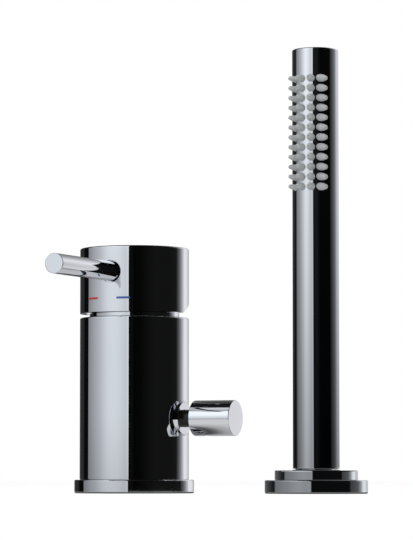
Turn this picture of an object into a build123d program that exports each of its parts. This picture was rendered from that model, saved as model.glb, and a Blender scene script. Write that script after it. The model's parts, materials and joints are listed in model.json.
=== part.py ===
from build123d import *
from math import cos, radians, sin, sqrt, tan
import os

# Deck-mounted bath mixer with a side diverter, and a stick hand shower standing in its holder.
# Millimetres. Z is up, the lever and the spray face -Y, the diverter knob points along +X.
# The origin is on the mixer's axis, on the deck.

os.makedirs("parts", exist_ok=True)

# Fits and gaps
running_gap = 0.06  # radial, a shaft that turns in its hole
seat_gap = 0.1  # radial, a piece that drops or screws into a bore
moving_gap = 0.3  # between faces that move past each other
disc_gap = 0.1  # between the two ceramic discs
same_size = 0.001  # radii closer than this are the same

# Mixer foot
flange_step = 2.7  # how far the flange stands out from the body
flange_h = 7.0
flange_edge = 0.6
foot_edge = 0.8
spigot_step = 3.3
gasket_set_out = 1.5  # from the spigot to the gasket
gasket_w = 2.6
gasket_h = 1.8

# Mixer body
body_d = 56.6
body_top = 90.8
body_edge = 0.8
shadow_bevel = 0.4
cavity_floor = 58.0
channel_r = 3.0
port_depth = 12.0
inlet_thread_r = 5.0
inlet_x = 6.5
inlet_y = 11.0
outlet_thread_r = 6.0
outlet_x = 9.5
outlet_y = -8.0
outlet_channel_r = 3.5
stud_r = 4.0
stud_x = 18.0
stud_y = 4.0
stud_depth = 14.0

# Check valves in the two inlets
valve_r = 4.5
valve_h = 11.0
valve_bore_r = 2.4
valve_groove = 0.7
valve_groove_h = 1.6

# Cartridge
cartridge_d = 35.0
cartridge_base_h = 5.0
base_key_r = 1.75
base_key_x = 12.0
base_key_y = -5.0
base_key_h = 2.5
seal_r = 4.2
seal_h = 1.6
port_slot_w = 5.4
disc_port_x = 5.5
disc_port_y = 7.4
fixed_disc_room = 0.6
fixed_disc_h = 4.0
moving_disc_room = 2.6
moving_disc_h = 3.8
mix_pocket_h = 2.2
housing_shoulder = 83.4
housing_collar_h = 6.0
housing_collar_d = 30.4
housing_collar_wall = 1.1
housing_lip = 2.5
housing_lip_w = 2.5
nut_d = 40.8
nut_top = 90.4
nut_bore_sink = 1.0
nut_notches = 6
nut_notch_w = 4.0
nut_notch_h = 2.0

# Carrier, pivot and stem inside the cartridge
pivot_z = 87.4
pivot_r = 1.5
driver_h = 15.4
driver_neck_top = 91.8
stem_w = 8.0
stem_foot = 74.2
stem_over_lever = 2.1
stem_swing = 6.0  # how far the stem's foot swings forward, with room to spare
stem_sway = 2.6  # how far the stem's neck sways back, with room to spare

# Neck ring under the handle
neck_d = 46.6
neck_ring_top = 93.8
dome_r = 28.6
dome_wall = 1.5
dome_mouth_r = 14.0
neck_spigot_w = 1.2

# Handle
cap_d = body_d
cap_lift = 2.3
cap_h = 33.8
cap_wall = 3.0
cap_top_wall = 3.5
cap_edge = 0.8
cap_foot_edge = 0.3
relief_angle = 24.0
boss_d = 18.0
boss_drop = 15.0
bushing_d = 14.0
bushing_sink = 1.0
lever_d = 10.2
lever_z = 113.6
lever_reach = 89.4
lever_seat = 22.0
lever_end_edge = 0.35
lever_hole_gap = 0.45
lever_hole_edge = 0.3
grub_r = 3.0
grub_h = 6.0

# Enamel marks on the handle
mark_h = 1.1
mark_depth = 0.3
mark_z = 100.0
hot_start = -29.4
cold_start = 7.3
mark_sweep = 14.2

# Diverter
diverter_z = 38.5
gland_d = 18.0
gland_inner_x = 15.0
chamber_r = 7.0
chamber_reach = 15.0
drum_reach = 14.4
drum_bore_r = 4.9
drum_port_r = 2.8
shank_r = 4.5
tip_r = 3.5
tip_length = 12.0
oring_w = 1.9
oring_depth = 1.0
oring_xs = (17.6, 21.4)
knob_d = 18.3
knob_x = 35.2
knob_length = 22.6
knob_edge = 0.3
knob_screw_x = 41.0
knob_screw_r = 2.0
knob_screw_sink = 0.8

# Hand-shower holder
holder_x = 102.4
holder_d = 52.0
holder_h = 6.8
holder_edge = 0.6
holder_gasket_inner_d = 42.0
collar_d = 42.0
collar_top = 11.7
collar_spigot_d = 35.0
collar_spigot_foot = 1.0
bush_ledge_top = 2.2
bush_ledge_w = 1.4
bush_d = 26.0
bush_set_down = 0.3
bush_lip_d = 24.0
nut_room = 0.9  # radial, round the thread, for the nut of a hose

# Hand shower
tube_d = 23.5
tube_wall = 1.4
tube_foot = 12.3
tube_foot_edge = 0.4
wand_top = 225.1
end_cap_h = 1.1
end_cap_edge = 0.8
end_plug_h = 6.5
thread_d = 20.955
nipple_foot = 3.0
nipple_bore_r = 6.5
nipple_plug_h = 14.0
washer_r = 9.2
washer_hole_r = 5.6
washer_h = 2.0

# Spray nozzles: columns around the tube, rows up it
nozzle_rows = 12
nozzle_pitch = 5.0
rows_below_top = 70.8  # from the top of the wand down to the lowest row
column_angles = (-36.0, -12.0, 12.0, 36.0)  # place, from the front towards the knob's side
column_aims = (-62.0, -20.0, 4.0, 64.0)  # the way each column points
nozzle_foot_r = 2.0
nozzle_waist_r = 1.45
nozzle_tip_r = 0.75
nozzle_waist_h = 3.0
nozzle_length = 4.1
nozzle_sink = 1.6
nozzle_neck_r = 1.6
nozzle_hole_h = 3.4  # length of the cutter through the wall
mat_wall = 1.5
mat_half_angle = 50.0
mat_margin = 4.2
core_flange_h = 2.0
core_gap = 0.2
core_feed_r = 3.0
gallery_r = 1.2

# Sizes that follow from the ones above
body_r = body_d / 2
flange_d = body_d + 2 * flange_step
spigot_d = body_d - 2 * spigot_step
gasket_inner_d = spigot_d + 2 * gasket_set_out
gasket_outer_d = gasket_inner_d + 2 * gasket_w
cavity_d = cartridge_d + 2 * seat_gap
nut_bore_d = nut_d + 2 * seat_gap
nut_bore_floor = housing_shoulder - nut_bore_sink
base_top = cavity_floor + cartridge_base_h
fixed_disc_top = base_top + fixed_disc_h
moving_disc_foot = fixed_disc_top + disc_gap
moving_disc_top = moving_disc_foot + moving_disc_h
driver_foot = moving_disc_top + moving_gap
driver_top = driver_foot + driver_h
housing_top = housing_shoulder + housing_collar_h
housing_bore_d = housing_collar_d - 2 * housing_collar_wall
housing_mouth_d = housing_bore_d - 2 * housing_lip_w
fixed_disc_d = housing_bore_d - 2 * fixed_disc_room
moving_disc_d = housing_bore_d - 2 * moving_disc_room
dome_centre_z = neck_ring_top - sqrt(dome_r**2 - (neck_d / 2) ** 2)
stem_top = lever_z + stem_over_lever
cap_bottom = body_top + cap_lift
cap_top = cap_bottom + cap_h
cap_ceiling = cap_top - cap_top_wall
cap_inner_r = cap_d / 2 - cap_wall
knob_r = knob_d / 2
holder_gasket_outer_d = holder_gasket_inner_d + 2 * gasket_w
bush_foot = bush_ledge_top + disc_gap
bush_lip_top = tube_foot - moving_gap
bush_body_top = collar_top - bush_set_down
tube_r = tube_d / 2
tube_inner_r = tube_r - tube_wall
tube_top = wand_top - end_cap_h
plug_r = tube_inner_r - seat_gap
mat_r = tube_inner_r - seat_gap
mat_inner_r = mat_r - mat_wall
lowest_row_z = wand_top - rows_below_top
highest_row_z = lowest_row_z + (nozzle_rows - 1) * nozzle_pitch
mat_foot = lowest_row_z - mat_margin
mat_top = highest_row_z + mat_margin
valve_z = port_depth + seat_gap


def circles(edges, radius):
    """Circular edges of one radius, lowest first."""
    same = edges.filter_by(GeomType.CIRCLE).filter_by(lambda edge: abs(edge.radius - radius) < same_size)
    return same.sort_by(Axis.Z)


def ring_sector(outer_r, depth, start_deg, sweep_deg, height):
    """Flat ring sector at a height, between two angles counted from the front."""
    with BuildSketch(Plane.XY.offset(height)) as sector:
        with BuildLine():
            outer = CenterArc((0, 0), outer_r, start_deg - 90, sweep_deg)
            inner = CenterArc((0, 0), outer_r - depth, start_deg - 90, sweep_deg)
            Line(outer @ 0, inner @ 0)
            Line(outer @ 1, inner @ 1)
        make_face()
    return sector.sketch


def nozzle_place(place_deg, aim_deg, height):
    """Plane on the tube's skin at one nozzle, its normal the way the nozzle points."""
    place = radians(place_deg)
    aim = radians(aim_deg)
    origin = (holder_x + tube_r * sin(place), -tube_r * cos(place), height)
    return Plane(origin=origin, x_dir=(0, 0, 1), z_dir=(sin(aim), -cos(aim), 0))


row_heights = [lowest_row_z + row * nozzle_pitch for row in range(nozzle_rows)]
radial_planes = [nozzle_place(angle, angle, z) for angle in column_angles for z in row_heights]
aimed_planes = [nozzle_place(angle, aim, z) for angle, aim in zip(column_angles, column_aims) for z in row_heights]
hot_sector = ring_sector(cap_d / 2, mark_depth, hot_start, mark_sweep, mark_z - mark_h / 2)
cold_sector = ring_sector(cap_d / 2, mark_depth, cold_start, mark_sweep, mark_z - mark_h / 2)

# Base flange: the wide chromed ring that the mixer body stands in
with BuildPart() as base_flange:
    with BuildSketch():
        Circle(flange_d / 2)
        Circle(spigot_d / 2 + seat_gap, mode=Mode.SUBTRACT)
    extrude(amount=flange_h)
    flange_rims = circles(base_flange.edges(), flange_d / 2)
    fillet(flange_rims[-1], flange_edge)
    fillet(flange_rims[0], foot_edge)
    with BuildSketch():
        Circle(gasket_outer_d / 2)
        Circle(gasket_inner_d / 2, mode=Mode.SUBTRACT)
    extrude(amount=gasket_h, mode=Mode.SUBTRACT)
base_flange.part.label = "base_flange"
export_step(base_flange.part, "parts/base_flange.step")

# Base gasket: flat rubber ring in the flange's groove, flush with the deck
with BuildPart() as base_gasket:
    with BuildSketch():
        Circle(gasket_outer_d / 2)
        Circle(gasket_inner_d / 2, mode=Mode.SUBTRACT)
    extrude(amount=gasket_h)
base_gasket.part.label = "base_gasket"
export_step(base_gasket.part, "parts/base_gasket.step")

# Mixer body: turned brass with a cartridge cavity, four ports below and the diverter chamber at the side
with BuildPart() as mixer_body:
    with BuildSketch():
        Circle(spigot_d / 2)
    extrude(amount=flange_h)
    with BuildSketch(Plane.XY.offset(flange_h)):
        Circle(body_r)
    extrude(amount=body_top - flange_h)
    body_rims = circles(mixer_body.edges(), body_r)
    fillet(body_rims[-1], body_edge)
    chamfer(body_rims[0], shadow_bevel)
    # Cartridge cavity and the wider bore for its nut
    with BuildSketch(Plane.XY.offset(cavity_floor)):
        Circle(cavity_d / 2)
    extrude(amount=body_top - cavity_floor, mode=Mode.SUBTRACT)
    with BuildSketch(Plane.XY.offset(nut_bore_floor)):
        Circle(nut_bore_d / 2)
    extrude(amount=body_top - nut_bore_floor, mode=Mode.SUBTRACT)
    with BuildSketch(Plane.XY.offset(cavity_floor)):
        with Locations((-base_key_x, base_key_y), (base_key_x, base_key_y)):
            Circle(base_key_r + seat_gap)
    extrude(amount=-(base_key_h + moving_gap), mode=Mode.SUBTRACT)
    # Hot and cold inlets: thread, seat for the check valve, channel up to the cartridge
    with BuildSketch():
        with Locations((-inlet_x, inlet_y), (inlet_x, inlet_y)):
            Circle(inlet_thread_r)
    extrude(amount=port_depth, mode=Mode.SUBTRACT)
    with BuildSketch():
        with Locations((-inlet_x, inlet_y), (inlet_x, inlet_y)):
            Circle(valve_r + seat_gap)
    extrude(amount=valve_z + valve_h + seat_gap, mode=Mode.SUBTRACT)
    with BuildSketch():
        with Locations((-inlet_x, inlet_y), (inlet_x, inlet_y)):
            Circle(channel_r)
    extrude(amount=cavity_floor, mode=Mode.SUBTRACT)
    # Bath and hand-shower outlets, up to the diverter chamber
    with BuildSketch():
        with Locations((-outlet_x, outlet_y), (outlet_x, outlet_y)):
            Circle(outlet_thread_r)
    extrude(amount=port_depth, mode=Mode.SUBTRACT)
    with BuildSketch():
        with Locations((-outlet_x, outlet_y), (outlet_x, outlet_y)):
            Circle(outlet_channel_r)
    extrude(amount=diverter_z, mode=Mode.SUBTRACT)
    # Mixed water down from the cartridge to the diverter chamber
    with BuildSketch(Plane.XY.offset(diverter_z)):
        with Locations((0, outlet_y)):
            Circle(outlet_channel_r)
    extrude(amount=cavity_floor - diverter_z, mode=Mode.SUBTRACT)
    # Holes for the two fixing studs
    with BuildSketch():
        with Locations((-stud_x, stud_y), (stud_x, stud_y)):
            Circle(stud_r)
    extrude(amount=stud_depth, mode=Mode.SUBTRACT)
    # Diverter chamber and the bore of its gland
    with BuildSketch(Plane.YZ.offset(-chamber_reach)):
        with Locations((0, diverter_z)):
            Circle(chamber_r)
    extrude(amount=chamber_reach + gland_inner_x, mode=Mode.SUBTRACT)
    with BuildSketch(Plane.YZ.offset(gland_inner_x)):
        with Locations((0, diverter_z)):
            Circle(gland_d / 2)
    extrude(amount=body_d, mode=Mode.SUBTRACT)
mixer_body.part.label = "mixer_body"
export_step(mixer_body.part, "parts/mixer_body.step")

# Check valves: a grooved barrel in each inlet, hot on the left and cold on the right
for valve_name, valve_x in (("check_valve_hot", -inlet_x), ("check_valve_cold", inlet_x)):
    with BuildPart() as check_valve:
        with BuildSketch(Plane.XY.offset(valve_z)):
            with Locations((valve_x, inlet_y)):
                Circle(valve_r)
                Circle(valve_bore_r, mode=Mode.SUBTRACT)
        extrude(amount=valve_h)
        with BuildSketch(Plane.XY.offset(valve_z + (valve_h - valve_groove_h) / 2)):
            with Locations((valve_x, inlet_y)):
                Circle(valve_r)
                Circle(valve_r - valve_groove, mode=Mode.SUBTRACT)
        extrude(amount=valve_groove_h, mode=Mode.SUBTRACT)
    check_valve.part.label = valve_name
    export_step(check_valve.part, f"parts/{valve_name}.step")

# Cartridge base: plate with two locating keys, three seal pockets and the water ports
with BuildPart() as cartridge_base:
    with BuildSketch(Plane.XY.offset(cavity_floor)):
        Circle(cartridge_d / 2)
    extrude(amount=cartridge_base_h)
    with BuildSketch(Plane.XY.offset(cavity_floor)):
        with Locations((-base_key_x, base_key_y), (base_key_x, base_key_y)):
            Circle(base_key_r)
    extrude(amount=-base_key_h)
    with BuildSketch(Plane.XY.offset(cavity_floor)):
        with Locations((-inlet_x, inlet_y), (inlet_x, inlet_y), (0, outlet_y)):
            Circle(seal_r + seat_gap)
    extrude(amount=seal_h, mode=Mode.SUBTRACT)
    with BuildSketch(Plane.XY.offset(cavity_floor)):
        with Locations((0, outlet_y)):
            Circle(port_slot_w / 2)
        for side in (-1, 1):
            slot_middle = (side * (inlet_x + disc_port_x) / 2, (inlet_y + disc_port_y) / 2)
            SlotCenterPoint(slot_middle, (side * inlet_x, inlet_y), port_slot_w)
    extrude(amount=cartridge_base_h, mode=Mode.SUBTRACT)
cartridge_base.part.label = "cartridge_base"
export_step(cartridge_base.part, "parts/cartridge_base.step")

# Cartridge seals: one ring round each port
with BuildPart() as cartridge_seals:
    with BuildSketch(Plane.XY.offset(cavity_floor)):
        with Locations((-inlet_x, inlet_y), (inlet_x, inlet_y), (0, outlet_y)):
            Circle(seal_r)
            Circle(channel_r, mode=Mode.SUBTRACT)
    extrude(amount=seal_h)
cartridge_seals.part.label = "cartridge_seals"
export_step(cartridge_seals.part, "parts/cartridge_seals.step")

# Fixed ceramic disc: hot, cold and mixed ports
with BuildPart() as ceramic_disc_fixed:
    with BuildSketch(Plane.XY.offset(base_top)):
        Circle(fixed_disc_d / 2)
        with Locations((-disc_port_x, disc_port_y), (disc_port_x, disc_port_y), (0, outlet_y)):
            Circle(port_slot_w / 2, mode=Mode.SUBTRACT)
    extrude(amount=fixed_disc_h)
ceramic_disc_fixed.part.label = "ceramic_disc_fixed"
export_step(ceramic_disc_fixed.part, "parts/ceramic_disc_fixed.step")

# Moving ceramic disc: a mixing pocket in its underside joins the ports
with BuildPart() as ceramic_disc_moving:
    with BuildSketch(Plane.XY.offset(moving_disc_foot)):
        Circle(moving_disc_d / 2)
    extrude(amount=moving_disc_h)
    with BuildSketch(Plane.XY.offset(moving_disc_foot)):
        SlotCenterToCenter(2 * disc_port_x, 2 * port_slot_w)
    extrude(amount=mix_pocket_h, mode=Mode.SUBTRACT)
ceramic_disc_moving.part.label = "ceramic_disc_moving"
export_step(ceramic_disc_moving.part, "parts/ceramic_disc_moving.step")

# Cartridge housing: stepped cup that the nut holds down by its shoulder
with BuildPart() as cartridge_housing:
    with BuildSketch(Plane.XY.offset(base_top)):
        Circle(cartridge_d / 2)
    extrude(amount=housing_shoulder - base_top)
    with BuildSketch(Plane.XY.offset(housing_shoulder)):
        Circle(housing_collar_d / 2)
    extrude(amount=housing_top - housing_shoulder)
    with BuildSketch(Plane.XY.offset(base_top)):
        Circle(housing_bore_d / 2)
    extrude(amount=housing_top - housing_lip - base_top, mode=Mode.SUBTRACT)
    with BuildSketch(Plane.XY.offset(base_top)):
        Circle(housing_mouth_d / 2)
    extrude(amount=housing_top - base_top, mode=Mode.SUBTRACT)
cartridge_housing.part.label = "cartridge_housing"
export_step(cartridge_housing.part, "parts/cartridge_housing.step")

# Cartridge nut: threaded ring with notches for the spanner
with BuildPart() as cartridge_nut:
    with BuildSketch(Plane.XY.offset(housing_shoulder)):
        Circle(nut_d / 2)
        Circle(housing_collar_d / 2 + seat_gap, mode=Mode.SUBTRACT)
    extrude(amount=nut_top - housing_shoulder)
    with BuildSketch(Plane.XY.offset(nut_top)):
        with PolarLocations((nut_d + housing_collar_d) / 4, nut_notches):
            Rectangle(nut_d, nut_notch_w)
        Circle(housing_collar_d / 2 + seat_gap, mode=Mode.SUBTRACT)
        Circle(nut_d / 2 - neck_spigot_w - seat_gap, mode=Mode.INTERSECT)
    extrude(amount=-nut_notch_h, mode=Mode.SUBTRACT)
cartridge_nut.part.label = "cartridge_nut"
export_step(cartridge_nut.part, "parts/cartridge_nut.step")

# Neck ring: domed chrome shell over the cartridge, its rim showing in the gap under the handle
with BuildPart() as neck_cover:
    with BuildSketch(Plane.XZ):
        shell_inner_r = dome_r - dome_wall
        spigot_r = nut_d / 2
        spigot_inner_r = spigot_r - neck_spigot_w
        mouth_outer = (dome_mouth_r, dome_centre_z + sqrt(dome_r**2 - dome_mouth_r**2))
        mouth_inner = (dome_mouth_r, dome_centre_z + sqrt(shell_inner_r**2 - dome_mouth_r**2))
        shell_foot = (spigot_inner_r, dome_centre_z + sqrt(shell_inner_r**2 - spigot_inner_r**2))
        with BuildLine():
            Polyline(
                shell_foot,
                (spigot_inner_r, nut_top),
                (spigot_r, nut_top),
                (spigot_r, body_top),
                (neck_d / 2, body_top),
                (neck_d / 2, neck_ring_top),
            )
            RadiusArc((neck_d / 2, neck_ring_top), mouth_outer, -dome_r)
            Line(mouth_outer, mouth_inner)
            RadiusArc(mouth_inner, shell_foot, shell_inner_r)
        make_face()
    revolve(axis=Axis.Z)
neck_cover.part.label = "neck_cover"
export_step(neck_cover.part, "parts/neck_cover.step")

# Cartridge driver: carrier that turns with the handle, slotted for the swinging stem
with BuildPart() as cartridge_driver:
    with BuildSketch(Plane.XY.offset(driver_foot)):
        Circle(housing_bore_d / 2 - moving_gap)
    extrude(amount=driver_h)
    with BuildSketch(Plane.XY.offset(driver_top)):
        Circle(housing_mouth_d / 2 - moving_gap)
    extrude(amount=driver_neck_top - driver_top)
    slot_w = stem_w + 2 * moving_gap
    back_room = stem_w / 2 + 2 * moving_gap
    with BuildSketch(Plane.XY.offset(driver_foot)):
        with Locations((0, back_room)):
            Rectangle(slot_w, back_room + stem_w / 2 + stem_swing, align=(Align.CENTER, Align.MAX))
    extrude(amount=pivot_z - driver_foot, mode=Mode.SUBTRACT)
    with BuildSketch(Plane.XY.offset(pivot_z)):
        with Locations((0, -back_room)):
            Rectangle(slot_w, 2 * back_room + stem_sway, align=(Align.CENTER, Align.MIN))
    extrude(amount=driver_neck_top - pivot_z, mode=Mode.SUBTRACT)
    with BuildSketch(Plane.YZ):
        with Locations((0, pivot_z)):
            Circle(pivot_r)
    extrude(amount=housing_mouth_d / 2, both=True, mode=Mode.SUBTRACT)
cartridge_driver.part.label = "cartridge_driver"
export_step(cartridge_driver.part, "parts/cartridge_driver.step")

# Stem pin: steel pin across the driver that the stem rocks on
with BuildPart() as stem_pin:
    with BuildSketch(Plane.YZ):
        with Locations((0, pivot_z)):
            Circle(pivot_r)
    extrude(amount=housing_mouth_d / 2 - 2 * moving_gap, both=True)
stem_pin.part.label = "stem_pin"
export_step(stem_pin.part, "parts/stem_pin.step")

# Lever stem: square bar from the cartridge up into the handle's socket
with BuildPart() as lever_stem:
    with BuildSketch(Plane.XY.offset(stem_foot)):
        Rectangle(stem_w, stem_w)
    extrude(amount=stem_top - stem_foot)
    with BuildSketch(Plane.YZ):
        with Locations((0, pivot_z)):
            Circle(pivot_r + running_gap)
    extrude(amount=stem_w, both=True, mode=Mode.SUBTRACT)
lever_stem.part.label = "lever_stem"
export_step(lever_stem.part, "parts/lever_stem.step")

# Handle cap: hollow cup with a socket for the stem, cut away below at the back so that it can tilt
with BuildPart() as handle_cap:
    with BuildSketch(Plane.XY.offset(cap_bottom)):
        Circle(cap_d / 2)
    extrude(amount=cap_h)
    fillet(circles(handle_cap.edges(), cap_d / 2)[-1], cap_edge)
    with BuildSketch(Plane.XY.offset(cap_bottom)):
        Circle(cap_inner_r)
    extrude(amount=cap_ceiling - cap_bottom, mode=Mode.SUBTRACT)
    with BuildSketch(Plane.XY.offset(cap_ceiling)):
        Circle(boss_d / 2)
    extrude(amount=-boss_drop)
    with BuildSketch(Plane.XZ):
        with Locations((0, lever_z)):
            Circle(bushing_d / 2)
    extrude(amount=cap_inner_r + bushing_sink)
    # Socket for the stem, thread for the grub screw and the lever, and the lever's hole
    with BuildSketch(Plane.XY.offset(stem_top + seat_gap)):
        Rectangle(stem_w + 2 * seat_gap, stem_w + 2 * seat_gap)
    extrude(amount=cap_bottom - stem_top, mode=Mode.SUBTRACT)
    with BuildSketch(Plane.XZ.offset(stem_w / 2)):
        with Locations((0, lever_z)):
            Circle(grub_r)
    extrude(amount=lever_seat - stem_w / 2, mode=Mode.SUBTRACT)
    with BuildSketch(Plane.XZ.offset(lever_seat)):
        with Locations((0, lever_z)):
            Circle(lever_d / 2 + lever_hole_gap)
    extrude(amount=cap_d, mode=Mode.SUBTRACT)
    chamfer(handle_cap.edges().sort_by(Axis.Y)[0], lever_hole_edge)
    # Wedge cut away under the back half
    with BuildSketch(Plane.YZ):
        with BuildLine():
            relief_rise = cap_d * tan(radians(relief_angle))
            Polyline((0, cap_bottom), (cap_d, cap_bottom), (cap_d, cap_bottom + relief_rise), close=True)
        make_face()
    extrude(amount=cap_d, both=True, mode=Mode.SUBTRACT)
    # Grooves for the two marks
    extrude(hot_sector, amount=mark_h, mode=Mode.SUBTRACT)
    extrude(cold_sector, amount=mark_h, mode=Mode.SUBTRACT)
handle_cap.part.label = "handle_cap"
export_step(handle_cap.part, "parts/handle_cap.step")

# Enamel marks: red for hot and blue for cold, flush with the cap
with BuildPart() as hot_mark:
    extrude(hot_sector, amount=mark_h)
hot_mark.part.label = "hot_mark"
export_step(hot_mark.part, "parts/hot_mark.step")

with BuildPart() as cold_mark:
    extrude(cold_sector, amount=mark_h)
cold_mark.part.label = "cold_mark"
export_step(cold_mark.part, "parts/cold_mark.step")

# Grub screw: clamps the cap to the stem behind the lever
grub_front = stem_w / 2 + grub_h
with BuildPart() as grub_screw:
    with BuildSketch(Plane.XZ.offset(stem_w / 2)):
        with Locations((0, lever_z)):
            Circle(grub_r)
    extrude(amount=grub_h)
grub_screw.part.label = "grub_screw"
export_step(grub_screw.part, "parts/grub_screw.step")

# Lever rod: plain bar with a threaded stud that screws into the cap
with BuildPart() as lever_rod:
    with BuildSketch(Plane.XZ.offset(lever_seat)):
        with Locations((0, lever_z)):
            Circle(lever_d / 2)
    extrude(amount=lever_reach - lever_seat)
    fillet(circles(lever_rod.edges(), lever_d / 2).sort_by(Axis.Y)[0], lever_end_edge)
    with BuildSketch(Plane.XZ.offset(grub_front + seat_gap)):
        with Locations((0, lever_z)):
            Circle(grub_r)
    extrude(amount=lever_seat - grub_front - seat_gap)
lever_rod.part.label = "lever_rod"
export_step(lever_rod.part, "parts/lever_rod.step")

# Diverter gland: ring that closes the chamber round the spindle, its face flush with the body
with BuildPart() as diverter_gland:
    with BuildSketch(Plane.YZ.offset(gland_inner_x)):
        with Locations((0, diverter_z)):
            Circle(gland_d / 2 - seat_gap)
            Circle(shank_r + running_gap, mode=Mode.SUBTRACT)
    extrude(amount=body_r - gland_inner_x)
    with BuildSketch():
        Circle(body_r)
    extrude(amount=body_top, mode=Mode.INTERSECT)
diverter_gland.part.label = "diverter_gland"
export_step(diverter_gland.part, "parts/diverter_gland.step")

# Diverter spindle: ported drum, grooved shank through the gland, and the tip that carries the knob
with BuildPart() as diverter_spindle:
    drum_r = chamber_r - running_gap
    drum_end_x = gland_inner_x - moving_gap
    with BuildSketch(Plane.YZ.offset(-drum_reach)):
        with Locations((0, diverter_z)):
            Circle(drum_r)
    extrude(amount=drum_reach + drum_end_x)
    with BuildSketch(Plane.YZ.offset(drum_end_x)):
        with Locations((0, diverter_z)):
            Circle(shank_r)
    extrude(amount=knob_x - drum_end_x)
    with BuildSketch(Plane.YZ.offset(knob_x)):
        with Locations((0, diverter_z)):
            Circle(tip_r)
    extrude(amount=tip_length)
    with BuildSketch(Plane.YZ.offset(-drum_reach)):
        with Locations((0, diverter_z)):
            Circle(drum_bore_r)
    extrude(amount=drum_reach + outlet_x + outlet_channel_r, mode=Mode.SUBTRACT)
    # Ports in the drum: mixed water in at the middle, the two ways out a quarter turn apart
    with BuildSketch(Plane.XZ):
        with Locations((0, diverter_z), (outlet_x, diverter_z)):
            Circle(drum_port_r)
    extrude(amount=chamber_r, mode=Mode.SUBTRACT)
    with BuildSketch(Plane.XY.offset(diverter_z)):
        with Locations((-outlet_x, 0)):
            Circle(drum_port_r)
    extrude(amount=-chamber_r, mode=Mode.SUBTRACT)
    # Grooves for the two rings
    for oring_x in oring_xs:
        with BuildSketch(Plane.YZ.offset(oring_x)):
            with Locations((0, diverter_z)):
                Circle(shank_r)
                Circle(shank_r - oring_depth, mode=Mode.SUBTRACT)
        extrude(amount=oring_w, mode=Mode.SUBTRACT)
diverter_spindle.part.label = "diverter_spindle"
export_step(diverter_spindle.part, "parts/diverter_spindle.step")

# Diverter rings: two rubber rings in the shank's grooves
with BuildPart() as diverter_orings:
    for oring_x in oring_xs:
        with BuildSketch(Plane.YZ.offset(oring_x)):
            with Locations((0, diverter_z)):
                Circle(shank_r)
                Circle(shank_r - oring_depth, mode=Mode.SUBTRACT)
        extrude(amount=oring_w)
diverter_orings.part.label = "diverter_orings"
export_step(diverter_orings.part, "parts/diverter_orings.step")

# Diverter knob: plain cylinder, bored for the spindle's tip and tapped below for its screw
with BuildPart() as diverter_knob:
    with BuildSketch(Plane.YZ.offset(knob_x)):
        with Locations((0, diverter_z)):
            Circle(knob_r)
    extrude(amount=knob_length)
    fillet(diverter_knob.edges().filter_by(GeomType.CIRCLE), knob_edge)
    with BuildSketch(Plane.YZ.offset(knob_x)):
        with Locations((0, diverter_z)):
            Circle(tip_r + seat_gap)
    extrude(amount=tip_length + seat_gap, mode=Mode.SUBTRACT)
    with BuildSketch(Plane.XY.offset(diverter_z)):
        with Locations((knob_screw_x, 0)):
            Circle(knob_screw_r)
    extrude(amount=-knob_d, mode=Mode.SUBTRACT)
diverter_knob.part.label = "diverter_knob"
export_step(diverter_knob.part, "parts/diverter_knob.step")

# Knob screw: short grub screw under the knob
with BuildPart() as diverter_screw:
    with BuildSketch(Plane.XY.offset(diverter_z - tip_r - seat_gap)):
        with Locations((knob_screw_x, 0)):
            Circle(knob_screw_r)
    extrude(amount=-(knob_r - tip_r - seat_gap - knob_screw_sink))
diverter_screw.part.label = "diverter_screw"
export_step(diverter_screw.part, "parts/diverter_screw.step")

# Holder flange: the wide lower tier on the deck
with BuildPart() as holder_flange:
    with BuildSketch():
        with Locations((holder_x, 0)):
            Circle(holder_d / 2)
            Circle(collar_spigot_d / 2 + seat_gap, mode=Mode.SUBTRACT)
    extrude(amount=holder_h)
    holder_rims = circles(holder_flange.edges(), holder_d / 2)
    fillet(holder_rims[-1], holder_edge)
    fillet(holder_rims[0], foot_edge)
    with BuildSketch():
        with Locations((holder_x, 0)):
            Circle(holder_gasket_outer_d / 2)
            Circle(holder_gasket_inner_d / 2, mode=Mode.SUBTRACT)
    extrude(amount=gasket_h, mode=Mode.SUBTRACT)
holder_flange.part.label = "holder_flange"
export_step(holder_flange.part, "parts/holder_flange.step")

# Holder gasket: flat rubber ring under the lower tier
with BuildPart() as holder_gasket:
    with BuildSketch():
        with Locations((holder_x, 0)):
            Circle(holder_gasket_outer_d / 2)
            Circle(holder_gasket_inner_d / 2, mode=Mode.SUBTRACT)
    extrude(amount=gasket_h)
holder_gasket.part.label = "holder_gasket"
export_step(holder_gasket.part, "parts/holder_gasket.step")

# Holder collar: the upper tier, with a spigot in the flange and a ledge for the bush
with BuildPart() as holder_collar:
    with BuildSketch(Plane.XY.offset(collar_spigot_foot)):
        with Locations((holder_x, 0)):
            Circle(collar_spigot_d / 2)
    extrude(amount=holder_h - collar_spigot_foot)
    with BuildSketch(Plane.XY.offset(holder_h)):
        with Locations((holder_x, 0)):
            Circle(collar_d / 2)
    extrude(amount=collar_top - holder_h)
    collar_rims = circles(holder_collar.edges(), collar_d / 2)
    fillet(collar_rims[-1], holder_edge)
    chamfer(collar_rims[0], shadow_bevel / 2)
    with BuildSketch(Plane.XY.offset(bush_ledge_top)):
        with Locations((holder_x, 0)):
            Circle(bush_d / 2 + running_gap)
    extrude(amount=collar_top - bush_ledge_top, mode=Mode.SUBTRACT)
    with BuildSketch(Plane.XY.offset(collar_spigot_foot)):
        with Locations((holder_x, 0)):
            Circle(bush_d / 2 - bush_ledge_w)
    extrude(amount=bush_ledge_top - collar_spigot_foot, mode=Mode.SUBTRACT)
holder_collar.part.label = "holder_collar"
export_step(holder_collar.part, "parts/holder_collar.step")

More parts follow.
